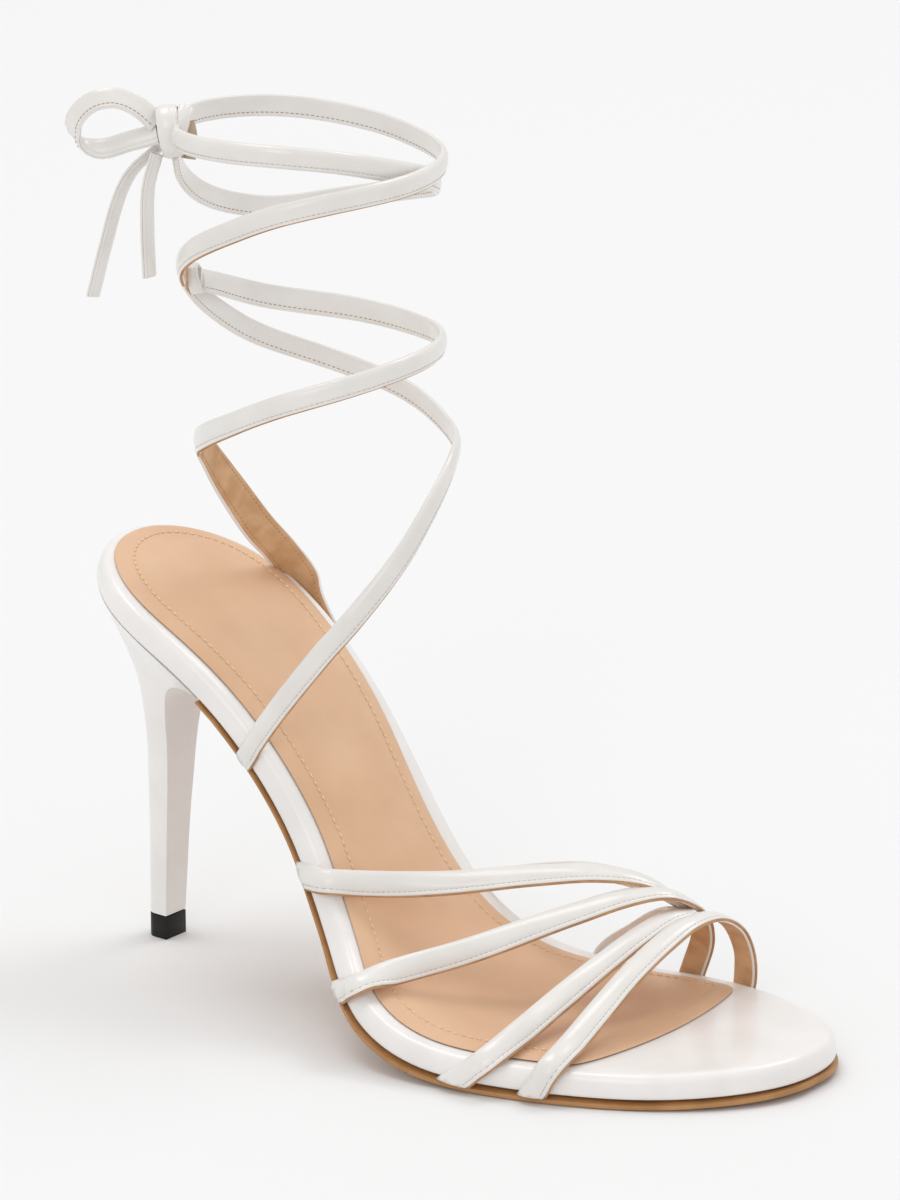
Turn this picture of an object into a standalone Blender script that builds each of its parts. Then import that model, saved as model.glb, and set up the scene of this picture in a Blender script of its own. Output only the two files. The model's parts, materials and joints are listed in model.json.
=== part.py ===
"""Strappy high-heeled sandal with ankle ties, a right shoe standing empty on its sole.

Frame: +X to the toe, +Y to the inner side of the foot, +Z up.
The origin is on the floor under the middle of the heel tip.
The sole is a flat insole pattern (station along it, offset across it, height above it)
that is bent along a side profile. Sizes below are in millimetres.
"""
import math

import bmesh
import bpy
import numpy as np

for old in list(bpy.data.objects):
    bpy.data.objects.remove(old, do_unlink=True)

MM = 0.001

# Sole sizes
PATTERN_START = 1.2
PATTERN_LENGTH = 246.0
SEAT_OVERHANG = 12.8
PLATFORM_THICK = 6.8
OUTSOLE_THICK = 1.8
OUTSOLE_REVEAL = 0.3
HEEL_ROUND = 34.0
TOE_ROUND = 62.0
TOE_POWER = 2.4
BREAST_STATION = 57.0
GAP = 0.3

# The sock's front edge is an arc: foremost station, its offset, and how fast it falls back
SOCK_FRONT = 209.3
SOCK_FRONT_OFFSET = 6.0
SOCK_FRONT_ARC = 240.0

# Heel sizes
TIP_HEIGHT = 6.2
HEEL_BACK_ROUND = 0.45
HEEL_BACK_STEPS = 6
HEEL_SIDE_SHARES = [0.65, 0.85, 1.0]
SEAT_INSET = 0.8

# Strap and tie sizes
STRAP_WIDTH = 6.3
STRAP_THICK = 2.0
TIE_WIDTH = 5.3
TIE_THICK = 1.9
SKIVED_THICK = 1.2
MEDIAL_BASE_WIDTH = 8.4
# Section of a strap or tie: share of its width from the middle, share of its thickness
BAND_SECTION = [
    (-0.5, 0.0),
    (-0.5, 0.7),
    (-0.3, 1.0),
    (0.3, 1.0),
    (0.5, 0.7),
    (0.5, 0.0),
]
# Middle of the foot that the straps lie around: over the sole, and inwards of its centre line
FOOT_CORE_HEIGHT = 4.0
FOOT_CORE_SHIFT = 4.0

# Ankle form that the ties are wound on: an upright round column that leans back a little
ANKLE_RADIUS = 33.0
ANKLE_X = 48.3
ANKLE_X_HEIGHT = 215.0
ANKLE_LEAN = 0.08

# Bow: its place on the ankle form, and the half sizes of its knot
KNOT_TURN = 216.0
KNOT_HEIGHT = 220.4
KNOT_OUT = -0.1
KNOT_HALF = (3.2, 4.2, 6.3)
KNOT_POWER = 0.75

# Flat pattern: station, slope of the side profile in degrees, centre line, half width
SOLE = [
    (0.0, -20.0, 0.0, 29.0),
    (35.0, -28.0, 0.0, 29.0),
    (70.0, -44.5, 0.0, 26.5),
    (100.0, -56.0, 0.0, 25.0),
    (125.0, -49.0, -3.0, 27.5),
    (150.0, -27.0, -7.5, 35.5),
    (175.0, -5.5, -2.0, 40.5),
    (190.0, 0.0, 2.2, 40.5),
    (210.0, 0.0, 6.5, 39.2),
    (228.0, 2.6, 9.6, 36.6),
    (246.0, 4.5, 13.0, 33.0),
]

# Edge shapes from the bottom ring to the top ring: inset from the outline, height over the pattern
PLATFORM_EDGE = [
    (0.9, -6.8),
    (0.2, -6.2),
    (0.0, -5.0),
    (0.0, -2.8),
    (0.6, -1.0),
    (1.7, -0.2),
    (3.2, 0.0),
]
OUTSOLE_EDGE = [
    (0.5, -8.9),
    (0.0, -8.5),
    (0.0, -7.4),
    (0.3, -7.1),
]
# Share of a layer's full thickness: station, share
EVEN = [
    (0.0, 1.0),
    (246.0, 1.0),
]
OUTSOLE_WAIST = [
    (0.0, 0.45),
    (115.0, 0.45),
    (165.0, 1.0),
    (246.0, 1.0),
]
# Sock's distance from the platform's outline: station, outer side, inner side
SOCK_MARGINS = [
    (0.0, 2.8, 2.6),
    (45.0, 4.2, 3.8),
    (75.0, 4.2, 4.6),
    (110.0, 4.2, 6.4),
    (150.0, 4.2, 6.0),
    (246.0, 4.2, 5.4),
]
SOCK_EDGE = [
    (0.0, 0.3),
    (0.0, 0.9),
    (0.5, 1.2),
    (1.5, 1.3),
]

# Heel sections below the seat: back x, back height, front x, front height, half width
HEEL = [
    (-8.3, 88.0, 22.0, 75.5, 17.7),
    (-6.4, 80.0, 13.5, 73.5, 13.0),
    (-4.8, 72.5, 8.4, 69.5, 9.5),
    (-4.2, 64.0, 6.4, 62.5, 7.4),
    (-3.7, 54.0, 5.7, 53.5, 6.0),
    (-3.9, 44.0, 5.1, 44.0, 5.3),
    (-4.0, 31.0, 4.1, 31.0, 4.7),
    (-4.4, 6.5, 2.8, 6.5, 4.0),
]

# Vamp straps: places in the air between the two ends, x, y, z of the strap's inner face
STRAP_REAR_OUTER = [
    (82.6, -20.9, 38.3),
    (97.0, -9.8, 38.0),
    (116.4, 4.3, 40.2),
    (129.0, 13.6, 40.8),
    (139.0, 20.8, 38.4),
    (145.2, 26.0, 33.0),
]
STRAP_FRONT_OUTER = [
    (100.5, -31.2, 22.2),
    (112.0, -17.5, 26.0),
    (129.2, 2.8, 32.8),
    (138.8, 13.9, 35.2),
    (145.0, 20.8, 34.6),
    (148.0, 26.6, 30.6),
    (145.0, 34.2, 23.0),
]
STRAP_REAR_TOE = [
    (137.0, -29.0, 14.0),
    (138.7, -14.1, 19.0),
    (141.9, -1.9, 24.0),
    (145.2, 9.8, 28.4),
    (148.0, 18.6, 30.6),
    (150.2, 24.0, 29.8),
]
STRAP_FRONT_TOE = [
    (150.2, -26.0, 13.0),
    (150.9, -13.9, 19.2),
    (151.5, -3.0, 24.2),
    (152.3, 8.7, 27.6),
    (153.0, 18.3, 29.3),
    (153.8, 28.0, 28.1),
    (154.0, 36.0, 23.6),
    (153.8, 40.6, 17.0),
]
STRAP_REAR_INNER = [
    (97.0, 28.6, 29.2),
    (117.0, 30.8, 33.4),
    (136.0, 29.0, 33.0),
    (146.0, 26.5, 31.6),
]
STRAP_FRONT_INNER = [
    (123.0, 34.6, 19.2),
    (132.0, 32.0, 27.0),
    (140.0, 29.0, 30.0),
    (146.5, 25.0, 29.6),
]

# How far a strap's outer face turns to the front and the outer side, and the y over which that fades
REAR_OUTER_TILT = (0.5, -0.6, 0.0)
FRONT_OUTER_TILT = (0.45, -0.45, 0.0)
REAR_TOE_TILT = (0.25, -0.15, 0.0)
FRONT_TOE_TILT = (0.2, -0.1, 0.0)
NO_TILT = (0.0, 0.0, 0.0)
TILT_FADE = (10.0, 32.0)

# Strap and tie ends on the sole's walls: station halfway up the wall, station gained per height
OUTER_ENDS = {
    "rear_outer": (113.8, 0.65),
    "front_outer": (142.1, 0.5),
    "rear_toe": (181.6, 1.1),
    "front_toe": (198.8, 0.55),
}
INNER_ENDS = {
    "front_outer": (186.5, 0.0),
    "front_toe": (202.5, 0.0),
    "rear_inner": (131.0, 0.6),
    "front_inner": (166.0, 0.3),
}
LATERAL_TIE_END = (77.3, -0.22)
MEDIAL_TIE_END = (43.3, -2.0)
WALL_HEIGHTS = (-0.2, -2.7, -4.8)
WALL_CLEARANCE = 0.5
RIM_LIFT = 0.35
STRAP_EASE = 24.0
TIE_EASE = 40.0
# Distances from its wall end over which a tie narrows from its base width
TIE_TAPER = (35.0, 90.0)

# Ties wound on the ankle form: turn in degrees from +X towards +Y, height, distance inside the form
LATERAL_TIE = [
    (-58.0, 98.6, 0.0),
    (-22.0, 120.8, 0.0),
    (0.0, 133.0, 0.6),
    (20.0, 139.8, 1.2),
    (40.0, 141.8, 1.4),
    (62.0, 143.4, 1.0),
    (91.0, 148.6, 0.0),
    (126.0, 155.2, 0.0),
    (158.0, 163.0, 0.0),
    (184.0, 173.0, 0.7),
    (208.0, 182.6, 1.0),
    (236.0, 191.6, 0.7),
    (272.0, 201.5, 0.0),
    (294.0, 206.8, 0.0),
    (320.0, 210.4, 0.0),
    (362.0, 212.6, 0.0),
    (432.0, 214.6, 0.0),
    (458.0, 216.8, 0.0),
    (500.0, 220.0, 0.0),
    (536.0, 221.0, 0.0),
    (567.0, 220.6, 0.0),
]
MEDIAL_TIE = [
    (146.0, 102.0, -9.2),
    (155.0, 109.7, -5.8),
    (170.0, 122.4, -4.5),
    (186.0, 133.2, -1.4),
    (206.0, 140.6, 1.2),
    (230.0, 145.6, 2.6),
    (254.0, 151.1, 3.2),
    (292.0, 159.8, 3.2),
    (333.0, 165.6, 3.2),
    (362.0, 167.6, 3.2),
    (400.0, 168.0, 3.2),
    (437.0, 167.6, 3.2),
    (473.0, 169.2, 3.2),
    (494.0, 170.6, 3.2),
    (514.0, 172.9, 3.3),
    (547.0, 179.2, 3.5),
    (564.0, 182.0, 3.6),
]
COLLAR_LOOP = [
    (224.5, 220.4, 0.8),
    (252.0, 221.2, 1.2),
    (277.0, 221.5, 1.2),
    (298.0, 221.3, 1.4),
    (322.0, 219.8, 2.0),
    (345.0, 216.8, 2.7),
    (366.0, 213.6, 2.8),
    (384.0, 210.6, 2.7),
    (398.0, 208.0, 2.2),
    (412.0, 205.6, 1.4),
    (440.0, 201.4, 1.0),
    (475.0, 196.8, 1.0),
    (504.0, 194.8, 1.0),
    (522.0, 196.4, 1.0),
    (541.0, 200.4, 1.0),
    (558.0, 206.2, 1.2),
    (568.0, 210.6, 1.4),
]

# Bow pieces, from the knot's middle: outwards from the ankle, along it, upwards
BOW_LOOP = [
    (3.6, 0.4, 2.6),
    (8.5, 0.6, 7.0),
    (14.0, 0.8, 8.8),
    (20.4, 0.6, 7.0),
    (24.4, 0.2, 1.8),
    (23.0, -0.4, -3.4),
    (17.6, -0.6, -4.9),
    (9.5, 0.0, -2.6),
    (3.6, 0.4, -0.6),
]
BOW_TAIL_LONG = [
    (3.4, -2.6, -4.0),
    (10.4, -3.6, -10.6),
    (13.2, -3.6, -15.8),
    (17.4, -3.0, -29.8),
    (20.6, -2.4, -42.2),
]
BOW_TAIL_SHORT = [
    (3.9, 1.5, -5.3),
    (6.0, 2.6, -13.0),
    (6.4, 2.8, -24.0),
    (6.1, 2.6, -36.0),
]
# Way that the width of each bow piece points: outwards, along the ankle, upwards
BOW_WIDTH_WAYS = {"loop": (-0.5, 0.72, -0.5), "long": (0.45, 0.88, 0.14), "short": (0.45, 0.89, 0.0)}

# Mesh steps
STATION_COUNT = 46
HEEL_RING_STEPS = 3
PATH_STEP = 6.0
BOW_STEP = 2.6
WIND_STEP = 10.0
SHARP_ANGLE = 40.0

# Finishes: colour, roughness
FINISHES = {
    "white leather": ((0.84, 0.82, 0.80, 1.0), 0.28),
    "tan leather": ((0.72, 0.47, 0.28, 1.0), 0.55),
    "caramel leather": ((0.48, 0.22, 0.07, 1.0), 0.45),
    "black rubber": ((0.012, 0.011, 0.01, 1.0), 0.4),
}


def smooth(table, value_column, at):
    """Read one column of a table at any key of its first column, with no overshoot between rows."""
    keys = np.array([row[0] for row in table], float)
    values = np.array([row[value_column] for row in table], float)
    steps = np.diff(keys)
    chords = np.diff(values) / steps
    slopes = np.zeros(len(keys))
    slopes[0] = chords[0]
    slopes[-1] = chords[-1]
    for i in range(1, len(keys) - 1):
        before = chords[i - 1]
        after = chords[i]
        if before * after > 0.0:
            slopes[i] = 2.0 * before * after / (before + after)
    at = np.asarray(at, float)
    i = np.clip(np.searchsorted(keys, at, side="right") - 1, 0, len(keys) - 2)
    t = (at - keys[i]) / steps[i]
    start = values[i] * (1 + 2 * t) * (1 - t) ** 2 + values[i + 1] * t * t * (3 - 2 * t)
    return start + steps[i] * (slopes[i] * t * (1 - t) ** 2 - slopes[i + 1] * t * t * (1 - t))


def bend_profile():
    """Side profile of the pattern's top: stations with their x, height and slope in radians."""
    stations = np.linspace(0.0, PATTERN_LENGTH, 2 * int(PATTERN_LENGTH) + 1)
    slopes = np.radians(smooth(SOLE, 1, stations))
    middle = (slopes[1:] + slopes[:-1]) / 2
    step = stations[1]
    along = np.concatenate([[0.0], np.cumsum(np.cos(middle) * step)])
    rise = np.concatenate([[0.0], np.cumsum(np.sin(middle) * step)])
    floor_to_top = GAP + PLATFORM_THICK + OUTSOLE_THICK
    return stations, along - SEAT_OVERHANG, rise - rise.min() + floor_to_top, slopes


PROFILE = bend_profile()


def bend(points, height):
    """Carry pattern points (station, offset) at a height over the pattern onto the bent sole."""
    points = np.atleast_2d(points)
    stations, along, rise, slopes = PROFILE
    slope = np.interp(points[:, 0], stations, slopes)
    x = np.interp(points[:, 0], stations, along) - np.sin(slope) * height
    z = np.interp(points[:, 0], stations, rise) + np.cos(slope) * height
    return np.column_stack([x, points[:, 1], z])


def pattern_edges(stations):
    """Outer and inner edge offsets of the pattern, with its rounded heel and toe."""
    stations = np.asarray(stations, float)
    heel_part = np.clip(1.0 - (stations - PATTERN_START) / HEEL_ROUND, 0.0, 1.0)
    toe_part = np.clip((stations - PATTERN_LENGTH + TOE_ROUND) / TOE_ROUND, 0.0, 1.0)
    ends = np.sqrt(1.0 - heel_part ** 2) * (1.0 - toe_part ** TOE_POWER) ** (1.0 / TOE_POWER)
    middle = smooth(SOLE, 2, stations)
    half = smooth(SOLE, 3, stations) * ends
    return middle - half, middle + half


def spread_stations(first, last, blunt_start):
    """Stations that crowd towards round ends."""
    turns = np.linspace(0.0, math.pi, STATION_COUNT + 1)
    if blunt_start:
        turns = np.linspace(math.pi / 2, math.pi, STATION_COUNT + 1)
        return first + (last - first) * (-np.cos(turns))
    return first + (last - first) * (1.0 - np.cos(turns)) / 2


def ladder_loop(stations, outer, inner, blunt_start):
    """Closed loop of pattern points: back end, outer side, front end, inner side."""
    first = 0 if blunt_start else 1
    side = range(first, len(stations) - 1)
    back = (stations[0], (outer[0] + inner[0]) / 2)
    front = (stations[-1], (outer[-1] + inner[-1]) / 2)
    loop = [back] + [(stations[i], outer[i]) for i in side]
    loop += [front] + [(stations[i], inner[i]) for i in reversed(side)]
    return np.array(loop)


def inset_loop(loop, distance):
    """Move a loop's points inwards; the loop runs outer side first, so inwards is to its left."""
    ways = np.roll(loop, -1, axis=0) - np.roll(loop, 1, axis=0)
    ways /= np.linalg.norm(ways, axis=1)[:, None]
    inwards = np.column_stack([-ways[:, 1], ways[:, 0]])
    return loop + inwards * np.reshape(distance, (-1, 1))


def platform_loop():
    stations = spread_stations(PATTERN_START, PATTERN_LENGTH, False)
    outer, inner = pattern_edges(stations)
    return ladder_loop(stations, outer, inner, False)


def outsole_loop():
    stations = spread_stations(BREAST_STATION + 2 * GAP, PATTERN_LENGTH, True)
    outer, inner = pattern_edges(stations)
    loop = ladder_loop(stations, outer, inner, True)
    spread = inset_loop(loop, -OUTSOLE_REVEAL)
    spread[:, 0] = np.maximum(spread[:, 0], BREAST_STATION + 2 * GAP)
    return spread


def sock_loop():
    """The platform's outline inset by the margin, cut off by the front arc."""
    outline = platform_loop()
    half = len(outline) // 2
    outer_margin = smooth(SOCK_MARGINS, 1, outline[:, 0])
    inner_margin = smooth(SOCK_MARGINS, 2, outline[:, 0])
    outer_side = inset_loop(outline, outer_margin)[:half + 1]
    inner_side = np.roll(inset_loop(outline, inner_margin), -1, axis=0)[:half - 2:-1]
    first = max(outer_side[0, 0], inner_side[0, 0])
    stations = spread_stations(first, SOCK_FRONT, False)
    reach = np.sqrt(SOCK_FRONT_ARC * (SOCK_FRONT - stations))
    outer = np.interp(stations, outer_side[:, 0], outer_side[:, 1])
    inner = np.interp(stations, inner_side[:, 0], inner_side[:, 1])
    outer = np.maximum(outer, SOCK_FRONT_OFFSET - reach)
    inner = np.minimum(inner, SOCK_FRONT_OFFSET + reach)
    return ladder_loop(stations, outer, inner, False)


def finish_material(name, finish):
    colour, roughness = FINISHES[finish]
    material = bpy.data.materials.new(name)
    material.use_nodes = True
    shader = material.node_tree.nodes["Principled BSDF"]
    shader.inputs["Base Color"].default_value = colour
    shader.inputs["Roughness"].default_value = roughness
    shader.inputs["Metallic"].default_value = 0.0
    return material


def make_object(name, verts, faces, finish):
    """One closed body from points in millimetres, with its faces turned outwards."""
    mesh = bpy.data.meshes.new(name)
    mesh.from_pydata([tuple(MM * np.array(v)) for v in verts], [], faces)
    body = bmesh.new()
    body.from_mesh(mesh)
    bmesh.ops.triangulate(body, faces=body.faces)
    bmesh.ops.recalc_face_normals(body, faces=body.faces)
    body.to_mesh(mesh)
    body.free()
    mesh.shade_smooth()
    mesh.set_sharp_from_angle(angle=math.radians(SHARP_ANGLE))
    made = bpy.data.objects.new(name, mesh)
    mesh.materials.append(finish_material(name, finish))
    bpy.context.scene.collection.objects.link(made)
    return made


def bridge_faces(ring_count, ring_size):
    """Quads between neighbouring rings of one size."""
    faces = []
    for ring in range(ring_count - 1):
        low = ring * ring_size
        high = low + ring_size
        for i in range(ring_size):
            j = (i + 1) % ring_size
            faces.append((low + i, low + j, high + j, high + i))
    return faces


def ladder_cap(first, ring_size):
    """Rungs across a ladder loop, with a triangle at each end."""
    half = ring_size // 2
    rungs = [(first, first + 1, first + ring_size - 1)]
    for i in range(1, half - 1):
        rungs.append((first + i, first + i + 1, first + ring_size - i - 1, first + ring_size - i))
    rungs.append((first + half - 1, first + half, first + half + 1))
    return rungs


def sole_layer(name, loop, edge, finish, thickness_shares):
    """A layer of the sole: one loop, inset and lifted by each row of its edge shape, top row last."""
    top = edge[-1][1]
    verts = []
    for inset, height in edge:
        ring = inset_loop(loop, inset)
        shares = smooth(thickness_shares, 1, loop[:, 0])
        verts.extend(bend(ring, top + (height - top) * shares))
    size = len(loop)
    faces = bridge_faces(len(edge), size)
    faces += ladder_cap(0, size) + ladder_cap(size * (len(edge) - 1), size)
    return make_object(name, verts, faces, finish)


def heel_shape():
    """D-shaped loop: share of the length from back (0) to front (1), share of the half width."""
    turns = np.linspace(0.0, math.pi / 2, HEEL_BACK_STEPS + 1)
    shares = [HEEL_BACK_ROUND * (1.0 - math.cos(turn)) for turn in turns]
    shares += HEEL_SIDE_SHARES
    widths = []
    for share in shares:
        back = max(0.0, 1.0 - share / HEEL_BACK_ROUND)
        widths.append(math.sqrt(1.0 - back * back))
    outer = [(share, -width) for share, width in zip(shares, widths)]
    inner = [(share, width) for share, width in zip(shares, widths)]
    return np.array(outer + [(1.0, 0.0)] + inner[:0:-1])


def heel_seat_ring(shape):
    """Top of the heel, on the underside of the platform."""
    back = PATTERN_START + SEAT_INSET
    stations = back + shape[:, 0] * (BREAST_STATION - back)
    outer, inner = pattern_edges(stations)
    half = np.where(shape[:, 1] < 0.0, -outer, inner) - SEAT_INSET
    offsets = np.where(shape[:, 1] == 0.0, 0.0, np.sign(shape[:, 1]) * np.maximum(half, 0.0))
    return bend(np.column_stack([stations, offsets]), -PLATFORM_THICK - GAP)


def heel_section(shape, row):
    back_x, back_z, front_x, front_z, half = row
    x = back_x + shape[:, 0] * (front_x - back_x)
    z = back_z + shape[:, 0] * (front_z - back_z)
    return np.column_stack([x, half * shape[:, 1], z])


def make_heel():
    shape = heel_shape()
    rings = [heel_seat_ring(shape)] + [heel_section(shape, row) for row in HEEL]
    knots = np.arange(len(rings))
    fine = np.linspace(0, len(rings) - 1, HEEL_RING_STEPS * (len(rings) - 1) + 1)
    stack = smooth_path(np.array(rings).reshape(len(rings), -1), knots, fine)
    verts = stack.reshape(-1, 3)
    size = len(shape)
    faces = bridge_faces(len(fine), size)
    faces += ladder_cap(0, size) + ladder_cap(size * (len(fine) - 1), size)
    return make_object("heel", verts, faces, "white leather")


def make_heel_tip():
    shape = heel_shape()
    foot = HEEL[-1]
    verts = []
    for height in (0.0, TIP_HEIGHT):
        verts.extend(heel_section(shape, (foot[0], height, foot[2], height, foot[4])))
    size = len(shape)
    faces = bridge_faces(2, size) + ladder_cap(0, size) + ladder_cap(size, size)
    return make_object("heel_tip", verts, faces, "black rubber")


def smooth_path(points, knots, at):
    """Curve through points (rows of any size) at their knots, read at other knot values."""
    steps = np.diff(knots)[:, None]
    chords = np.diff(points, axis=0) / steps
    slopes = np.vstack([chords[:1], (chords[1:] + chords[:-1]) / 2, chords[-1:]])
    i = np.clip(np.searchsorted(knots, at, side="right") - 1, 0, len(knots) - 2)
    span = steps[i]
    t = ((at - knots[i]) / span[:, 0])[:, None]
    start = points[i] * (1 + 2 * t) * (1 - t) ** 2 + points[i + 1] * t * t * (3 - 2 * t)
    return start + span * (slopes[i] * t * (1 - t) ** 2 - slopes[i + 1] * t * t * (1 - t))


def band_rings(path, normals, sizes):
    """Sections of a flat band with a slightly domed outer face, over the path of its inner face."""
    ways = np.gradient(path, axis=0)
    ways /= np.linalg.norm(ways, axis=1)[:, None]
    outward = normals - ways * np.sum(normals * ways, axis=1)[:, None]
    outward /= np.linalg.norm(outward, axis=1)[:, None]
    across = np.cross(ways, outward)
    verts = []
    for place, side, out, (width, thick) in zip(path, across, outward, sizes):
        for wide, high in BAND_SECTION:
            verts.append(place + side * wide * width + out * high * thick)
    return verts, len(BAND_SECTION)


def make_band(name, places, ways, sizes, step):
    """A flat band through places of its inner face, with an outward way, width and thickness at each."""
    rows = np.hstack([places, ways, sizes])
    lengths = np.linalg.norm(np.diff(rows[:, :3], axis=0), axis=1)
    knots = np.concatenate([[0.0], np.cumsum(lengths)])
    at = np.linspace(0.0, knots[-1], max(3, int(round(knots[-1] / step)) + 1))
    fine = smooth_path(rows, knots, at)
    verts, size = band_rings(fine[:, :3], fine[:, 3:6], fine[:, 6:])
    faces = bridge_faces(len(fine), size)
    faces += [tuple(range(size)), tuple(range(len(verts) - size, len(verts)))]
    return make_object(name, verts, faces, "white leather")


def wall_end(end, side):
    """Places down the sole's wall for a strap's end, top first, with their outward ways."""
    station, lean = end
    edge = pattern_edges([station, station + 1.0])[0 if side < 0 else 1]
    out = side * np.array([edge[0] - edge[1], 1.0])
    out /= np.linalg.norm(out)
    places = []
    for height in WALL_HEIGHTS:
        at = station + lean * (height - WALL_HEIGHTS[1])
        wall = pattern_edges(at)[0 if side < 0 else 1]
        places.append(bend(np.array([at, wall]) + out * WALL_CLEARANCE, height)[0])
    slope = np.interp(station, PROFILE[0], PROFILE[3])
    normal = np.array([out[0] * math.cos(slope), out[1], out[0] * math.sin(slope)])
    lift = np.array([-math.sin(slope), 0.0, math.cos(slope)])
    return places, [normal + RIM_LIFT * lift, normal, normal]


def foot_normals(points, tilt):
    """Outward ways of a strap over the foot, away from a core line just over the sole, then tilted."""
    points = np.array(points, float)
    stations, along, rise, slopes = PROFILE
    core = np.interp(points[:, 0], along, rise) + FOOT_CORE_HEIGHT
    middle = np.interp(points[:, 0], along, smooth(SOLE, 2, stations)) + FOOT_CORE_SHIFT
    ways = np.column_stack([np.zeros(len(points)), points[:, 1] - middle, points[:, 2] - core])
    ways /= np.linalg.norm(ways, axis=1)[:, None]
    return list(ways + np.interp(points[:, 1], TILT_FADE, (1.0, 0.0))[:, None] * np.array(tilt))


def ease_ways(places, ways, wall, wall_way, reach):
    """Turn the ways of places near a wall end towards the wall's own way."""
    eased = []
    for place, way in zip(places, ways):
        share = max(0.0, 1.0 - np.linalg.norm(place - wall) / reach) ** 2
        eased.append((1.0 - share) * way + share * wall_way)
    return eased


def strap_places(outer_end, middle, inner_end, tilt):
    """A strap's whole run: up the outer wall, over the foot, down the inner wall."""
    places = list(np.array(middle, float))
    ways = foot_normals(middle, tilt)
    sizes = [(STRAP_WIDTH, STRAP_THICK)] * len(places)
    skived = [(STRAP_WIDTH, SKIVED_THICK)] * len(WALL_HEIGHTS)
    if outer_end is not None:
        wall, wall_ways = wall_end(outer_end, -1)
        ways = ease_ways(places, ways, wall[0], wall_ways[0], STRAP_EASE)
        places = wall[::-1] + places
        ways = wall_ways[::-1] + ways
        sizes = skived + sizes
    if inner_end is not None:
        wall, wall_ways = wall_end(inner_end, 1)
        ways = ease_ways(places, ways, wall[0], wall_ways[0], STRAP_EASE)
        places = places + wall
        ways = ways + wall_ways
        sizes = sizes + skived
    return places, ways, sizes


def make_vamp_straps():
    """Four straps over the toes and two inner side legs, joined into one body where they cross."""
    runs = [
        ("vamp_straps", OUTER_ENDS["front_outer"], STRAP_FRONT_OUTER, INNER_ENDS["front_outer"], FRONT_OUTER_TILT),
        ("rear_outer_leg", OUTER_ENDS["rear_outer"], STRAP_REAR_OUTER, None, REAR_OUTER_TILT),
        ("rear_toe_leg", OUTER_ENDS["rear_toe"], STRAP_REAR_TOE, None, REAR_TOE_TILT),
        ("front_toe_strap", OUTER_ENDS["front_toe"], STRAP_FRONT_TOE, INNER_ENDS["front_toe"], FRONT_TOE_TILT),
        ("rear_inner_leg", None, STRAP_REAR_INNER[::-1], INNER_ENDS["rear_inner"], NO_TILT),
        ("front_inner_leg", None, STRAP_FRONT_INNER[::-1], INNER_ENDS["front_inner"], NO_TILT),
    ]
    made = []
    for name, outer_end, middle, inner_end, tilt in runs:
        places, ways, sizes = strap_places(outer_end, middle, inner_end, tilt)
        made.append(make_band(name, places, ways, sizes, PATH_STEP))
    for leg in made[1:]:
        leg.hide_render = True
        leg.display_type = "WIRE"
        joint = made[0].modifiers.new(leg.name, "BOOLEAN")
        joint.operation = "UNION"
        joint.solver = "EXACT"
        joint.object = leg
    return made[0]


def ankle_place(turn, height, inside):
    """Place on the ankle form and its outward way there."""
    angle = math.radians(turn)
    out = np.array([math.cos(angle), math.sin(angle), 0.0])
    axis = np.array([ANKLE_X + (ANKLE_X_HEIGHT - height) * ANKLE_LEAN, 0.0, height])
    return axis + out * (ANKLE_RADIUS - inside), out


def wind(rows):
    """Places on the ankle form along a tie's rows, a few degrees apart, with their outward ways."""
    rows = np.array(rows)
    turns = np.linspace(rows[0, 0], rows[-1, 0], int((rows[-1, 0] - rows[0, 0]) / WIND_STEP) + 1)
    wound = [ankle_place(*row) for row in smooth_path(rows, rows[:, 0], turns)]
    return [place for place, out in wound], [out for place, out in wound]


def make_tie(name, rows, end, side, base_width):
    """A tie from its end on the sole's wall, if it has one, around the ankle form."""
    places, ways = wind(rows)
    sizes = [(TIE_WIDTH, TIE_THICK)] * len(places)
    if end is not None:
        wall, wall_ways = wall_end(end, side)
        ways = ease_ways(places, ways, wall[0], wall_ways[1], TIE_EASE)
        aways = [np.linalg.norm(place - wall[0]) for place in places]
        sizes = [(np.interp(away, TIE_TAPER, (base_width, TIE_WIDTH)), TIE_THICK) for away in aways]
        places = wall[::-1] + places
        ways = wall_ways[::-1] + ways
        sizes = [(base_width, SKIVED_THICK)] * len(wall) + sizes
    return make_band(name, places, ways, sizes, PATH_STEP)


def bow_frame():
    """The knot's middle, and the ways outwards, along the ankle and upwards from it."""
    place, out = ankle_place(KNOT_TURN, KNOT_HEIGHT, -KNOT_OUT)
    up = np.array([0.0, 0.0, 1.0])
    return place, out, np.cross(up, out), up


def make_knot():
    """Rounded lump of the tied bow."""
    place, out, along, up = bow_frame()
    body = bmesh.new()
    bmesh.ops.create_icosphere(body, subdivisions=3, radius=1.0)
    verts = []
    for vert in body.verts:
        soft = [math.copysign(abs(c) ** KNOT_POWER, c) for c in vert.co]
        shift = soft[0] * KNOT_HALF[0] * out + soft[1] * KNOT_HALF[1] * along + soft[2] * KNOT_HALF[2] * up
        verts.append(place + shift)
    faces = [tuple(v.index for v in face.verts) for face in body.faces]
    body.free()
    return make_object("bow_knot", verts, faces, "white leather")


def make_bow_piece(name, rows, width_way):
    place, out, along, up = bow_frame()
    axes = np.array([out, along, up])
    points = [place + np.array(row) @ axes for row in rows]
    width = np.array(width_way) @ axes
    ways = np.gradient(np.array(points), axis=0)
    normals = [np.cross(width, way) / np.linalg.norm(np.cross(width, way)) for way in ways]
    sizes = [(TIE_WIDTH, TIE_THICK)] * len(points)
    return make_band(name, points, normals, sizes, BOW_STEP)


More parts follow.
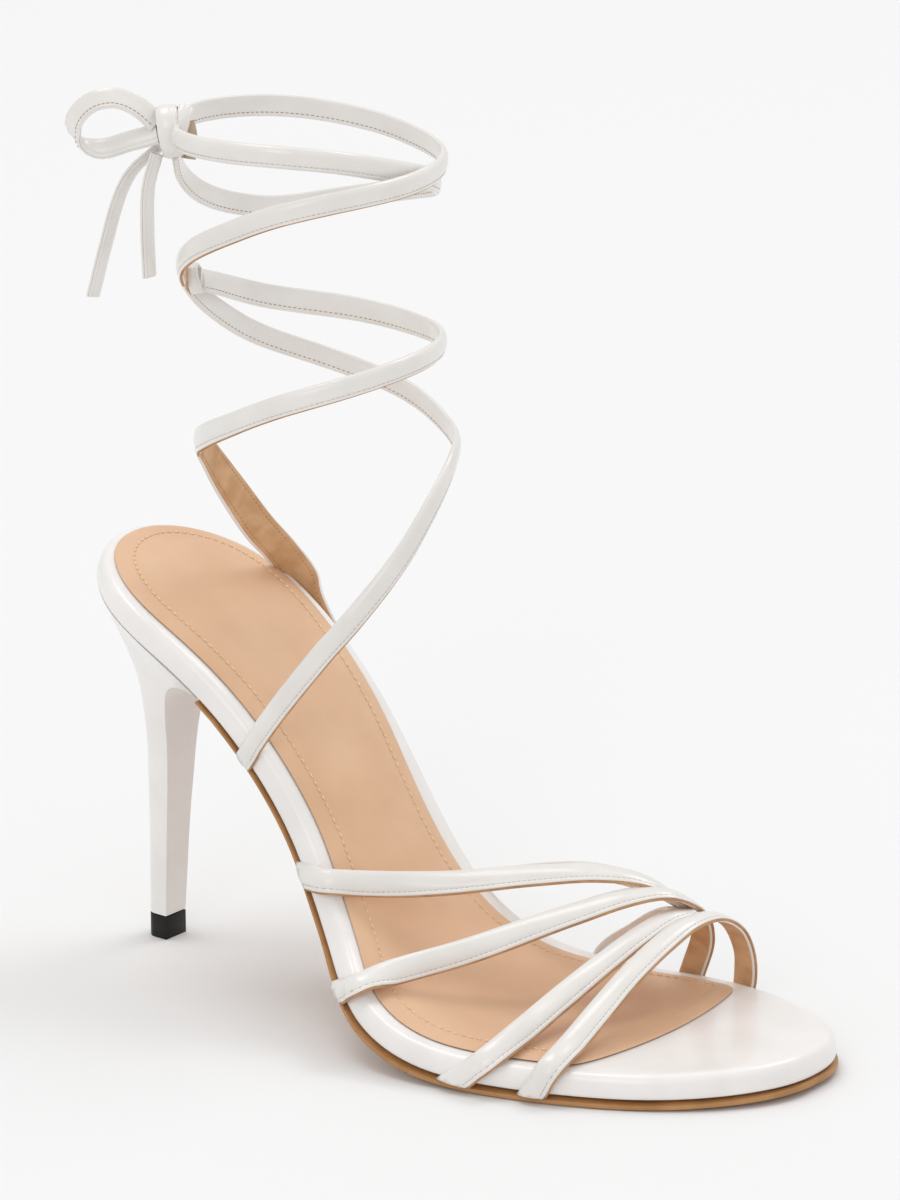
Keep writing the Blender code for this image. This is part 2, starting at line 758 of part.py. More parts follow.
sole_layer("platform", platform_loop(), PLATFORM_EDGE, "white leather", EVEN)
sole_layer("outsole", outsole_loop(), OUTSOLE_EDGE, "caramel leather", OUTSOLE_WAIST)
sole_layer("sock", sock_loop(), SOCK_EDGE, "tan leather", EVEN)
make_heel()
make_heel_tip()
make_vamp_straps()
make_tie("lateral_tie", LATERAL_TIE, LATERAL_TIE_END, -1, TIE_WIDTH)
make_tie("medial_tie", MEDIAL_TIE, MEDIAL_TIE_END, 1, MEDIAL_BASE_WIDTH)
make_tie("collar_loop", COLLAR_LOOP, None, 0, TIE_WIDTH)
make_knot()
make_bow_piece("bow_loop", BOW_LOOP, BOW_WIDTH_WAYS["loop"])
make_bow_piece("bow_tail_long", BOW_TAIL_LONG, BOW_WIDTH_WAYS["long"])
make_bow_piece("bow_tail_short", BOW_TAIL_SHORT, BOW_WIDTH_WAYS["short"])
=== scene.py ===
import bpy
import json
import math
import numpy as np
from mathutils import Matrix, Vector
from mathutils.bvhtree import BVHTree

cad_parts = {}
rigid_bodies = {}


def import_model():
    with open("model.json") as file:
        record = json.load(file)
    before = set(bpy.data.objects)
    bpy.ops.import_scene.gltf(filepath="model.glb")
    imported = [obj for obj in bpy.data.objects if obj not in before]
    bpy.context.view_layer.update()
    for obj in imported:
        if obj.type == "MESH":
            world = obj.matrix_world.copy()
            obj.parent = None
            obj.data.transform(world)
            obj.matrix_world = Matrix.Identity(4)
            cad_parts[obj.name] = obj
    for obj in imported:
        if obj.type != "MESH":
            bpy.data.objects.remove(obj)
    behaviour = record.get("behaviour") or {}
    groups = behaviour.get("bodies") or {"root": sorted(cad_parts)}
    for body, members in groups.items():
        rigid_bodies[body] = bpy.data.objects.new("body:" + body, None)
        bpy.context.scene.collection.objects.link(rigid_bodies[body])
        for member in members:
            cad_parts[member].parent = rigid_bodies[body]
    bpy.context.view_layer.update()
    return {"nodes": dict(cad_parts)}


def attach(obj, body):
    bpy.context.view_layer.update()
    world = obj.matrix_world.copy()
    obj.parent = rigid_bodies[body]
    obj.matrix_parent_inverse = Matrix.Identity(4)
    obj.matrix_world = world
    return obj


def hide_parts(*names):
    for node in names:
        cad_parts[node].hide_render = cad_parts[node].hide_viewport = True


# White strappy sandal with ankle ties, a right shoe
# metres for the camera and the studio, millimetres in the dictionaries of the pieces
for old in list(bpy.data.objects):
    bpy.data.objects.remove(old, do_unlink=True)
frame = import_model()
nodes = frame["nodes"]
mm = 0.001


def surfaceTree(mesh):  # for the nearest place on a node's surface
    return BVHTree.FromPolygons([v.co for v in mesh.vertices], [f.vertices for f in mesh.polygons])


platformTree = surfaceTree(nodes["platform"].data)
sockTree = surfaceTree(nodes["sock"].data)
print("frame loaded with", len(nodes), "nodes")

# camera: three-quarter view from the outer side and a little above, with a long lens
view = {
    "place": (0.9315, -1.0892, 0.5314),
    "aim": (0.0858, 0.0093, 0.105),
    "lens": 175.0,
    "sensor": 36.0,
}
bpy.ops.object.camera_add(location=view["place"])
shoeCamera = bpy.context.object
sight = Vector(view["aim"]) - Vector(view["place"])
shoeCamera.rotation_euler = sight.to_track_quat("-Z", "Y").to_euler()
shoeCamera.data.lens = view["lens"]
shoeCamera.data.sensor_width = view["sensor"]
bpy.context.scene.camera = shoeCamera
bpy.context.scene.view_settings.view_transform = "Standard"

# soft studio: big boxes behind, overhead and in front, white walls all round
studio = {
    "middle": (0.09, 0.0, 0.1),
    "boxes": [  # place, size in metres, watts
        ("keyBox", (0.9, 2.7, 4.8), 2.2, 46.0),
        ("topBox", (-1.35, -0.45, 5.4), 2.6, 58.0),
        ("frontBox", (1.8, -4.5, 2.7), 2.4, 27.0),
    ],
    "walls": "#FFFFFF",
    "wallStrength": 0.78,
    "floor": "#EDEDED",
    "floorSize": 12.0,
}


def linear(hexCode):  # sRGB hex to linear colour
    values = [int(hexCode[i:i + 2], 16) / 255 for i in (1, 3, 5)]
    return tuple(c / 12.92 if c <= 0.04045 else ((c + 0.055) / 1.055) ** 2.4 for c in values) + (1.0,)


def addNode(tree, kind, settings=None, inputs=None):
    node = tree.nodes.new(kind)
    for key, value in (settings or {}).items():
        setattr(node, key, value)
    for key, value in (inputs or {}).items():
        if isinstance(value, bpy.types.NodeSocket):
            tree.links.new(value, node.inputs[key])
        else:
            node.inputs[key].default_value = value
    return node


def perMetre(sizeMm):  # texture scale that gives a feature of this size
    return 1000.0 / sizeMm


def newMaterial(name, roughness, ior=1.5):
    made = bpy.data.materials.new(name)
    made.use_nodes = True
    shader = made.node_tree.nodes["Principled BSDF"]
    shader.inputs["Roughness"].default_value = roughness
    shader.inputs["IOR"].default_value = ior
    return made, made.node_tree, shader


def mottle(tree, shader, coords, sizeMm, light, dark):
    # slow drift between two near colours, so that no skin is one flat colour
    cloud = addNode(tree, "ShaderNodeTexNoise", None,
                    {"Vector": coords, "Scale": perMetre(sizeMm), "Detail": 3.0})
    ramp = addNode(tree, "ShaderNodeValToRGB", None, {"Fac": cloud.outputs["Fac"]})
    ramp.color_ramp.elements[0].position = 0.35
    ramp.color_ramp.elements[0].color = linear(dark)
    ramp.color_ramp.elements[1].position = 0.65
    ramp.color_ramp.elements[1].color = linear(light)
    tree.links.new(ramp.outputs["Color"], shader.inputs["Base Color"])
    return cloud


# polyurethane coated leather, calendered smooth: milky white, satin, with a faint pebble in the highlight
def smoothWhiteLeather(name, light, dark, coat):
    made, tree, shader = newMaterial(name, 0.3)
    coords = addNode(tree, "ShaderNodeTexCoord").outputs["Object"]
    mottle(tree, shader, coords, 14.0, light, dark)
    wave = addNode(tree, "ShaderNodeTexNoise", None,
                   {"Vector": coords, "Scale": perMetre(7.0), "Detail": 1.0})
    soft = addNode(tree, "ShaderNodeBump", None,
                   {"Height": wave.outputs["Fac"], "Strength": 0.12, "Distance": 0.0006})
    pebble = addNode(tree, "ShaderNodeTexVoronoi", None, {"Vector": coords, "Scale": perMetre(0.7)})
    grain = addNode(tree, "ShaderNodeBump", None, {
        "Height": pebble.outputs["Distance"], "Strength": 0.05, "Distance": 0.0001,
        "Normal": soft.outputs["Normal"]})
    gloss = addNode(tree, "ShaderNodeMapRange", None,
                    {"Value": wave.outputs["Fac"], "To Min": 0.26, "To Max": 0.36})
    tree.links.new(gloss.outputs["Result"], shader.inputs["Roughness"])
    tree.links.new(grain.outputs["Normal"], shader.inputs["Normal"])
    shader.inputs["Coat Weight"].default_value = coat
    shader.inputs["Coat Roughness"].default_value = 0.16
    return made


# drum-dyed pigskin lining, unfinished: matt tan with small pores
def tanLining(name, light, dark):
    made, tree, shader = newMaterial(name, 0.72)
    coords = addNode(tree, "ShaderNodeTexCoord").outputs["Object"]
    mottle(tree, shader, coords, 5.0, light, dark)
    pore = addNode(tree, "ShaderNodeTexVoronoi", None, {"Vector": coords, "Scale": perMetre(0.8)})
    bump = addNode(tree, "ShaderNodeBump", None,
                   {"Height": pore.outputs["Distance"], "Strength": 0.25, "Distance": 0.00015})
    tree.links.new(bump.outputs["Normal"], shader.inputs["Normal"])
    return made


# padded sock of aniline sheepskin: warm nude tan, soft sheen, fine wrinkled grain
def sockSheepskin():
    made, tree, shader = newMaterial("sockSheepskin", 0.5)
    coords = addNode(tree, "ShaderNodeTexCoord").outputs["Object"]
    mottle(tree, shader, coords, 22.0, "#E0B894", "#D7AD88")
    pore = addNode(tree, "ShaderNodeTexVoronoi", None, {"Vector": coords, "Scale": perMetre(0.9)})
    grain = addNode(tree, "ShaderNodeBump", None,
                    {"Height": pore.outputs["Distance"], "Strength": 0.12, "Distance": 0.00012})
    slow = addNode(tree, "ShaderNodeTexNoise", None,
                   {"Vector": coords, "Scale": perMetre(11.0), "Detail": 2.0})
    soft = addNode(tree, "ShaderNodeBump", None, {
        "Height": slow.outputs["Fac"], "Strength": 0.14, "Distance": 0.0008,
        "Normal": grain.outputs["Normal"]})
    gloss = addNode(tree, "ShaderNodeMapRange", None,
                    {"Value": slow.outputs["Fac"], "To Min": 0.42, "To Max": 0.56})
    tree.links.new(gloss.outputs["Result"], shader.inputs["Roughness"])
    tree.links.new(soft.outputs["Normal"], shader.inputs["Normal"])
    shader.inputs["Sheen Weight"].default_value = 0.12
    return made


# stacked sole leather, edge-inked caramel and burnished: fine layers along the edge, satin
def caramelSoleLeather():
    made, tree, shader = newMaterial("caramelSoleLeather", 0.42)
    coords = addNode(tree, "ShaderNodeTexCoord").outputs["Object"]
    mottle(tree, shader, coords, 9.0, "#BC8A57", "#A87745")
    flat = addNode(tree, "ShaderNodeMapping", None, {"Vector": coords, "Scale": (0.08, 0.08, 1.0)})
    layer = addNode(tree, "ShaderNodeTexNoise", None,
                    {"Vector": flat.outputs["Vector"], "Scale": perMetre(0.6), "Detail": 2.0})
    bump = addNode(tree, "ShaderNodeBump", None,
                   {"Height": layer.outputs["Fac"], "Strength": 0.25, "Distance": 0.0002})
    tree.links.new(bump.outputs["Normal"], shader.inputs["Normal"])
    return made


# moulded heel-tip rubber: near black, satin, with a dusty speckle
def blackTipRubber():
    made, tree, shader = newMaterial("blackTipRubber", 0.45, 1.36)
    coords = addNode(tree, "ShaderNodeTexCoord").outputs["Object"]
    speck = mottle(tree, shader, coords, 1.2, "#181613", "#0F0E0C")
    bump = addNode(tree, "ShaderNodeBump", None,
                   {"Height": speck.outputs["Fac"], "Strength": 0.15, "Distance": 0.0001})
    tree.links.new(bump.outputs["Normal"], shader.inputs["Normal"])
    return made


# bonded polyester thread: satin, with the fine uneven colour of its twist
def sewingThread(name, light, dark):
    made, tree, shader = newMaterial(name, 0.55)
    coords = addNode(tree, "ShaderNodeTexCoord").outputs["Object"]
    twist = mottle(tree, shader, coords, 0.5, light, dark)
    bump = addNode(tree, "ShaderNodeBump", None,
                   {"Height": twist.outputs["Fac"], "Strength": 0.3, "Distance": 0.0001})
    tree.links.new(bump.outputs["Normal"], shader.inputs["Normal"])
    return made


# painted plaster floor: pale and matt
def studioFloor():
    made, tree, shader = newMaterial("studioFloor", 0.7)
    coords = addNode(tree, "ShaderNodeTexCoord").outputs["Object"]
    mottle(tree, shader, coords, 900.0, studio["floor"], studio["floor"])
    return made


whiteLeather = smoothWhiteLeather("whiteLeather", "#F1EEEB", "#EBE8E5", 0.4)
# the same white leather for the straps, ties and bow, with a heavier coat; its greyer colour is painted
# shade, standing in for the shade on their faces
strapLeatherPaintedShade = smoothWhiteLeather("strapLeatherPaintedShade", "#E9E6E2", "#E3DFDA", 0.55)
strapLining = tanLining("strapLining", "#D6AC82", "#C6986C")
sockEdgeTan = tanLining("sockEdgeTan", "#BE8856", "#A87446")
legLining = tanLining("legLining", "#EFEAE4", "#E6E0D8")
knotTan = tanLining("knotTan", "#C3AE97", "#B09A82")
rawTan = tanLining("rawTan", "#C4976C", "#AE8056")
sockLeather = sockSheepskin()
soleLeather = caramelSoleLeather()
tipRubber = blackTipRubber()
paleThread = sewingThread("paleThread", "#D3CCC4", "#BCB2A7")
brownThread = sewingThread("brownThread", "#A88D70", "#8A6F54")
goldThread = sewingThread("goldThread", "#F2D8B4", "#DDB98D")
print("materials made:", len(bpy.data.materials))

bpy.ops.mesh.primitive_plane_add(size=studio["floorSize"])
floor = bpy.context.object
floor.name = "studioFloor"
floor.data.materials.append(studioFloor())
for name, place, size, watts in studio["boxes"]:
    bpy.ops.object.light_add(type="AREA", location=place)
    box = bpy.context.object
    box.name = name
    box.data.shape = "DISK"
    box.data.size = size
    box.data.energy = watts
    box.rotation_euler = (Vector(studio["middle"]) - Vector(place)).to_track_quat("-Z", "Y").to_euler()
walls = bpy.data.worlds.new("studioWalls")
walls.use_nodes = True
walls.node_tree.nodes["Background"].inputs["Color"].default_value = linear(studio["walls"])
walls.node_tree.nodes["Background"].inputs["Strength"].default_value = studio["wallStrength"]
bpy.context.scene.world = walls
print("studio lit")


def unit(rows):
    return rows / np.linalg.norm(rows, axis=1)[:, None]


def pathLengths(path):  # distance from the start to each point
    return np.concatenate([[0.0], np.cumsum(np.linalg.norm(np.diff(path, axis=0), axis=1))])


def readAlong(at, lengths, rows):  # rows read at distances along their path
    return np.stack([np.interp(at, lengths, rows[:, k]) for k in range(rows.shape[1])], axis=1)


def onlySelect(piece):
    bpy.ops.object.select_all(action="DESELECT")
    piece.select_set(True)
    bpy.context.view_layer.objects.active = piece


def applyModifier(piece, kind, settings):
    onlySelect(piece)
    made = piece.modifiers.new(kind.title(), kind)
    for key, value in settings.items():
        setattr(made, key, value)
    bpy.ops.object.modifier_apply(modifier=made.name)


def smoothen(piece, degrees):
    onlySelect(piece)
    bpy.ops.object.shade_smooth_by_angle(angle=math.radians(degrees))


nodeCopy = {"weld": 0.01, "flat": 25.0, "skew": 60.0}


def copyOfNode(nodeName, pieceName, skin):
    # the node's shape as a piece of its own: welded, back to four-sided faces
    piece = bpy.data.objects.new(pieceName, nodes[nodeName].data.copy())
    bpy.context.scene.collection.objects.link(piece)
    piece.data.materials.clear()
    piece.data.materials.append(skin)
    onlySelect(piece)
    bpy.ops.mesh.customdata_custom_splitnormals_clear()
    bpy.ops.object.mode_set(mode="EDIT")
    bpy.ops.mesh.select_all(action="SELECT")
    bpy.ops.mesh.remove_doubles(threshold=nodeCopy["weld"] * mm)
    bpy.ops.mesh.tris_convert_to_quads(face_threshold=math.radians(nodeCopy["flat"]),
                                       shape_threshold=math.radians(nodeCopy["skew"]))
    bpy.ops.object.mode_set(mode="OBJECT")
    return piece


def selectSharp(piece, degrees):
    onlySelect(piece)
    bpy.ops.object.mode_set(mode="EDIT")
    bpy.ops.mesh.select_mode(type="EDGE")
    bpy.ops.mesh.select_all(action="DESELECT")
    bpy.ops.mesh.edges_select_sharp(sharpness=math.radians(degrees))
    bpy.ops.object.mode_set(mode="OBJECT")


def creaseSharp(piece, degrees, above):
    # sharp edges higher than this stay crisp when the piece is smoothed
    selectSharp(piece, degrees)
    crease = piece.data.attributes.new("crease_edge", "FLOAT", "EDGE")
    for number, edge in enumerate(piece.data.edges):
        high = min(piece.data.vertices[v].co.z for v in edge.vertices) > above * mm
        crease.data[number].value = float(edge.select and high)


def bevelSharp(piece, degrees, widthMm, segments, below=math.inf):
    selectSharp(piece, degrees)
    for edge in piece.data.edges:
        low = min(piece.data.vertices[v].co.z for v in edge.vertices) < below * mm
        edge.select = edge.select and low
    bpy.ops.object.mode_set(mode="EDIT")
    bpy.ops.mesh.bevel(offset=widthMm * mm, offset_type="OFFSET", segments=segments,
                       clamp_overlap=True)
    bpy.ops.object.mode_set(mode="OBJECT")


def subdivide(piece, steps):
    applyModifier(piece, "SUBSURF", {"levels": steps, "render_levels": steps})


def seat(piece, slotName, *nodeNames):
    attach(piece, "root")
    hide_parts(*nodeNames)


# outsole: thin, with a crisp inked edge that is only just broken
outsole = {"bevel": 0.35, "bevelAngle": 50.0, "bevelSteps": 2, "smooth": 1, "sharpAngle": 38.0}
solePiece = copyOfNode("outsole", "outsoleLeather", soleLeather)
bevelSharp(solePiece, outsole["bevelAngle"], outsole["bevel"], outsole["bevelSteps"])
subdivide(solePiece, outsole["smooth"])
smoothen(solePiece, outsole["sharpAngle"])
seat(solePiece, "outsole_leather", "outsole")

# platform: leather drawn over a board, round at the rim
platform = {"smooth": 2, "sharpAngle": 60.0}
platformPiece = copyOfNode("platform", "platformCover", whiteLeather)
subdivide(platformPiece, platform["smooth"])
smoothen(platformPiece, platform["sharpAngle"])
seat(platformPiece, "white_leather", "platform")

# heel: covered block, the cover's edges turn in at the flat breast
heel = {
    "bevel": 0.7,
    "bevelAngle": 42.0,
    "bevelSteps": 2,
    "bevelBelow": 76.5,  # the rim over this meets the platform and stays crisp
    "smooth": 1,
    "sharpAngle": 50.0,
}
heelPiece = copyOfNode("heel", "heelCover", whiteLeather)
bevelSharp(heelPiece, heel["bevelAngle"], heel["bevel"], heel["bevelSteps"], heel["bevelBelow"])
creaseSharp(heelPiece, heel["bevelAngle"], heel["bevelBelow"])
subdivide(heelPiece, heel["smooth"])
smoothen(heelPiece, heel["sharpAngle"])
seat(heelPiece, "white_leather", "heel")

# heel tip: moulded top piece, corners just broken
heelTip = {"bevel": 0.35, "bevelAngle": 40.0, "bevelSteps": 2, "sharpAngle": 38.0}
tipPiece = copyOfNode("heel_tip", "heelTip", tipRubber)
bevelSharp(tipPiece, heelTip["bevelAngle"], heelTip["bevel"], heelTip["bevelSteps"])
smoothen(tipPiece, heelTip["sharpAngle"])
seat(tipPiece, "heel_tip_rubber", "heel_tip")
print("sole and heel made")

# sock: padded cover with a sewn channel inside its edge
# rings: distance inside the edge and rise over the plain sock of the frame,
# first its thin edge from below, then its top as far as the middle line
sock = {
    "topOver": 1.02,  # its top lies more than this over the platform
    "under": [(-0.7, -1.3), (-0.5, -0.85), (-0.1, -0.55)],
    "over": [(0.6, -0.38), (2.0, -0.02), (3.9, 0.22), (4.3, 0.1), (4.7, 0.26), (6.0, 0.46), (9.0, 0.7),
             (14.0, 0.9)],
    "seamRing": 3,
    "underDrop": 0.2,
    "wholeWay": 1000.0,  # longer than any way in, so it ends at the middle line
    "leastSlant": 0.5,
    "middleRise": 1.0,
    "endReach": (25.0, 34.0),
    "dropFrom": 300.0,
    "wrongDrop": 12.0,  # beside the edge, a fall that ends so far from its height has missed
    "wrongDropBeside": 1.0,
    "weld": 0.02,
    "smooth": 1,
    "sharpAngle": 60.0,
    "stitch": {"length": 1.55, "pitch": 2.1, "thick": 0.62, "lift": 0.3},
    "frontFrom": 90.0,  # no stitches along the front edge: past this x, where the seam runs across
    "frontTurn": 0.62,
}
stitchForm = {"segments": 6, "rings": 5}


def topLoop(mesh, tree, least):
    # border of the faces that lie at least so far over a surface, as an ordered loop in mm
    over = [tree.find_nearest(vert.co)[3] / mm for vert in mesh.vertices]
    count = {}
    for face in mesh.polygons:
        if min(over[v] for v in face.vertices) > least:
            for edge in face.edge_keys:
                count[edge] = count.get(edge, 0) + 1
    beside = {}
    for a, b in [edge for edge, times in count.items() if times == 1]:
        beside.setdefault(a, []).append(b)
        beside.setdefault(b, []).append(a)
    loop = [next(iter(beside))]
    last = None
    while True:
        onward = [v for v in beside[loop[-1]] if v != last][0]
        last = loop[-1]
        if onward == loop[0]:
            break
        loop.append(onward)
    return np.array([mesh.vertices[v].co for v in loop]) / mm


def stitchMesh(name, places, frames, size, thread):
    # one ellipsoid stitch, copied to every place; a frame's rows are along, across and out
    bpy.ops.object.select_all(action="DESELECT")
    bpy.ops.mesh.primitive_uv_sphere_add(segments=stitchForm["segments"], ring_count=stitchForm["rings"],
                                         radius=0.5)
    model = bpy.context.object
    points = np.array([v.co for v in model.data.vertices])[:, [2, 0, 1]]
    points *= np.array([size["length"], size["thick"], size["thick"]])
    faces = [tuple(face.vertices) for face in model.data.polygons]
    bpy.data.objects.remove(model, do_unlink=True)
    verts = np.concatenate([place + points @ rows for place, rows in zip(places, frames)]) * mm
    copies = [tuple(v + i * len(points) for v in face) for i in range(len(places)) for face in faces]
    made = bpy.data.meshes.new(name)
    made.from_pydata(verts.tolist(), [], copies)
    piece = bpy.data.objects.new(name, made)
    bpy.context.scene.collection.objects.link(piece)
    made.materials.append(thread)
    onlySelect(piece)
    bpy.ops.object.mode_set(mode="EDIT")
    bpy.ops.mesh.select_all(action="SELECT")
    bpy.ops.mesh.normals_make_consistent(inside=False)
    bpy.ops.object.mode_set(mode="OBJECT")
    bpy.ops.object.shade_smooth()
    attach(piece, "root")
    return piece


weldedSock = copyOfNode("sock", "weldedSock", sockLeather)
edgeLoop = topLoop(weldedSock.data, platformTree, sock["topOver"])
bpy.data.objects.remove(weldedSock, do_unlink=True)
# the middle line: half way between the two edges at each x, stopped short of both ends
heelEnd = int(np.argmin(edgeLoop[:, 0]))
edgeLoop = np.roll(edgeLoop, -heelEnd, axis=0)
toeEnd = int(np.argmax(edgeLoop[:, 0]))
firstSide = edgeLoop[:toeEnd + 1]
secondSide = np.vstack([edgeLoop[:1], edgeLoop[:toeEnd - 1:-1]])
heelReach, toeReach = sock["endReach"]
middleX = np.clip(edgeLoop[:, 0], edgeLoop[0, 0] + heelReach, edgeLoop[toeEnd, 0] - toeReach)
middleY = (np.interp(middleX, firstSide[:, 0], firstSide[:, 1])
           + np.interp(middleX, secondSide[:, 0], secondSide[:, 1])) / 2
middle = np.column_stack([middleX, middleY])
tangent = unit((np.roll(edgeLoop, -1, axis=0) - np.roll(edgeLoop, 1, axis=0))[:, :2])
inwards = np.column_stack([-tangent[:, 1], tangent[:, 0]])
toMiddle = middle - edgeLoop[:, :2]
inwards *= np.sign(np.sum(inwards * toMiddle, axis=1))[:, None]
reach = np.linalg.norm(toMiddle, axis=1)
slant = np.clip(np.sum(inwards * toMiddle, axis=1) / reach, sock["leastSlant"], 1.0)


def sockRing(inset, rise, ground):
    # the edge loop drawn in towards the middle line; ground gives the sock's own surface there
    share = np.clip(inset / slant / reach, -1.0, 1.0)[:, None]
    plan = edgeLoop[:, :2] + toMiddle * share
    ring = []
    for i, (x, y) in enumerate(plan):
        place, normal, face, distance = ground(i, x, y)
        ring.append(np.array(place) / mm + np.array(normal) * rise)
    return np.array(ring)


def fallTo(i, x, y):  # straight down on to the sock; just outside it, the nearest place of its edge
    hit = sockTree.ray_cast(Vector((x, y, sock["dropFrom"])) * mm, Vector((0.0, 0.0, -1.0)))
    missed = hit[0] is None
    if not missed and abs(x - edgeLoop[i, 0]) < sock["wrongDropBeside"]:
        missed = abs(hit[0].z / mm - edgeLoop[i, 2]) > sock["wrongDrop"]
    if missed:
        return sockTree.find_nearest(Vector((x, y, edgeLoop[i, 2])) * mm)
    return hit


def besideEdge(i, x, y):  # level with the edge, in the way the sole's surface faces there
    place, normal, face, distance = platformTree.find_nearest(Vector(edgeLoop[i]) * mm)
    return Vector((x, y, edgeLoop[i, 2])) * mm, normal, face, distance


rings = [sockRing(sock["wholeWay"], sock["under"][0][1] - sock["underDrop"], fallTo)]
rings += [sockRing(inset, rise, besideEdge) for inset, rise in sock["under"]]
rings += [sockRing(inset, rise, fallTo) for inset, rise in sock["over"]]
seamLoop = rings[1 + len(sock["under"]) + sock["seamRing"]]
rings.append(sockRing(sock["wholeWay"], sock["middleRise"], fallTo))
rings.insert(-1, (rings[-1] + rings[-2]) / 2)
rings = np.stack(rings, axis=1)
rings = np.concatenate([rings, rings[:1]])
bpy.ops.object.select_all(action="DESELECT")
bpy.ops.mesh.primitive_grid_add(x_subdivisions=rings.shape[1] - 1, y_subdivisions=rings.shape[0] - 1,
                                size=1.0)
sockPiece = bpy.context.object
sockPiece.name = "paddedSock"
sockPiece.data.vertices.foreach_set("co", (rings * mm).astype(np.float32).ravel())
sockPiece.data.materials.append(sockLeather)
sockPiece.data.materials.append(sockEdgeTan)
layers = np.array([1, 1] + [0] * (rings.shape[1] - 3), np.int32)  # brown underneath and at the cut edge
sockPiece.data.polygons.foreach_set("material_index", np.tile(layers, rings.shape[0] - 1))
onlySelect(sockPiece)
bpy.ops.object.mode_set(mode="EDIT")
bpy.ops.mesh.select_all(action="SELECT")
bpy.ops.mesh.remove_doubles(threshold=sock["weld"] * mm)
bpy.ops.mesh.normals_make_consistent(inside=False)
bpy.ops.object.mode_set(mode="OBJECT")
subdivide(sockPiece, sock["smooth"])
smoothen(sockPiece, sock["sharpAngle"])
seat(sockPiece, "sock_leather", "sock")


def evenPlaces(loop, pitch):
    # places along a path at an even pitch, with the way along it there
    lengths = pathLengths(loop)
    at = np.arange(pitch / 2, lengths[-1], pitch)
    ways = readAlong(at + pitch / 4, lengths, loop) - readAlong(at - pitch / 4, lengths, loop)
    return readAlong(at, lengths, loop), unit(ways)


closedSeam = np.vstack([seamLoop, seamLoop[:1]])
seamPlaces, seamWays = evenPlaces(closedSeam, sock["stitch"]["pitch"])
sewn = (seamPlaces[:, 0] < sock["frontFrom"]) | (np.abs(seamWays[:, 1]) < sock["frontTurn"])
seamPlaces, seamWays = seamPlaces[sewn], seamWays[sewn]
seamFrames = []
for i, way in enumerate(seamWays):
    place, normal, face, distance = sockTree.find_nearest(Vector(seamPlaces[i] * mm))
    out = np.array(normal)
    seamFrames.append(np.array([way, np.cross(out, way), out]))
    seamPlaces[i] = seamPlaces[i] + out * sock["stitch"]["thick"] * sock["stitch"]["lift"]
stitchMesh("sockStitches", seamPlaces, seamFrames, sock["stitch"], goldThread)
print("sock made with", len(seamPlaces), "stitches")

# strap section: across and rise in mm on a 5.3 x 1.9 strap, then the layer of the face that follows
# layers: 0 folded leather, 1 raw middle that shows as a tan line at the lower edge,
# 2 inside face, 3 its turned edge
section = {
    "width": 5.3,
    "thick": 1.9,
    "rows": [
        (-2.3, 0.0, 2), (-1.1, 0.0, 2), (0.0, 0.0, 2), (1.1, 0.0, 2), (2.1, 0.02, 3), (2.42, 0.16, 3),
        (2.52, 0.34, 1), (2.92, 0.4, 1), (3.0, 0.63, 1), (2.92, 0.86, 1), (2.54, 0.92, 0), (2.65, 1.0, 0),
        (2.6, 1.22, 0), (2.38, 1.4, 0), (2.12, 1.46, 0), (1.96, 1.44, 0), (1.82, 1.34, 0), (1.68, 1.46, 0),
        (1.25, 1.7, 0), (0.6, 1.87, 0), (-0.1, 1.92, 0), (-0.9, 1.86, 0), (-1.7, 1.65, 0), (-2.28, 1.28, 0),
        (-2.6, 0.8, 0), (-2.62, 0.34, 0), (-2.5, 0.12, 2),
    ],
    "seamAcross": 1.82,
    "outSeamRise": 1.38,
    "inSeamRise": 0.02,
    "endSkip": 3.6,
    "step": 1.8,
    "weld": 0.001,
    "sharpAngle": 32.0,
    "stitch": {"length": 0.95, "pitch": 1.3, "thick": 0.24},
}


def smoothPath(points, knots, at):
    # curve through points at their knots, read at other knot values
    steps = np.diff(knots)[:, None]
    chords = np.diff(points, axis=0) / steps
    slopes = np.vstack([chords[:1], (chords[1:] + chords[:-1]) / 2, chords[-1:]])
    i = np.clip(np.searchsorted(knots, at, side="right") - 1, 0, len(knots) - 2)
    t = ((at - knots[i]) / steps[i, 0])[:, None]
    ends = points[i] * (1 + 2 * t) * (1 - t) ** 2 + points[i + 1] * t * t * (3 - 2 * t)
    return ends + steps[i] * (slopes[i] * t * (1 - t) ** 2 - slopes[i + 1] * t * t * (1 - t))


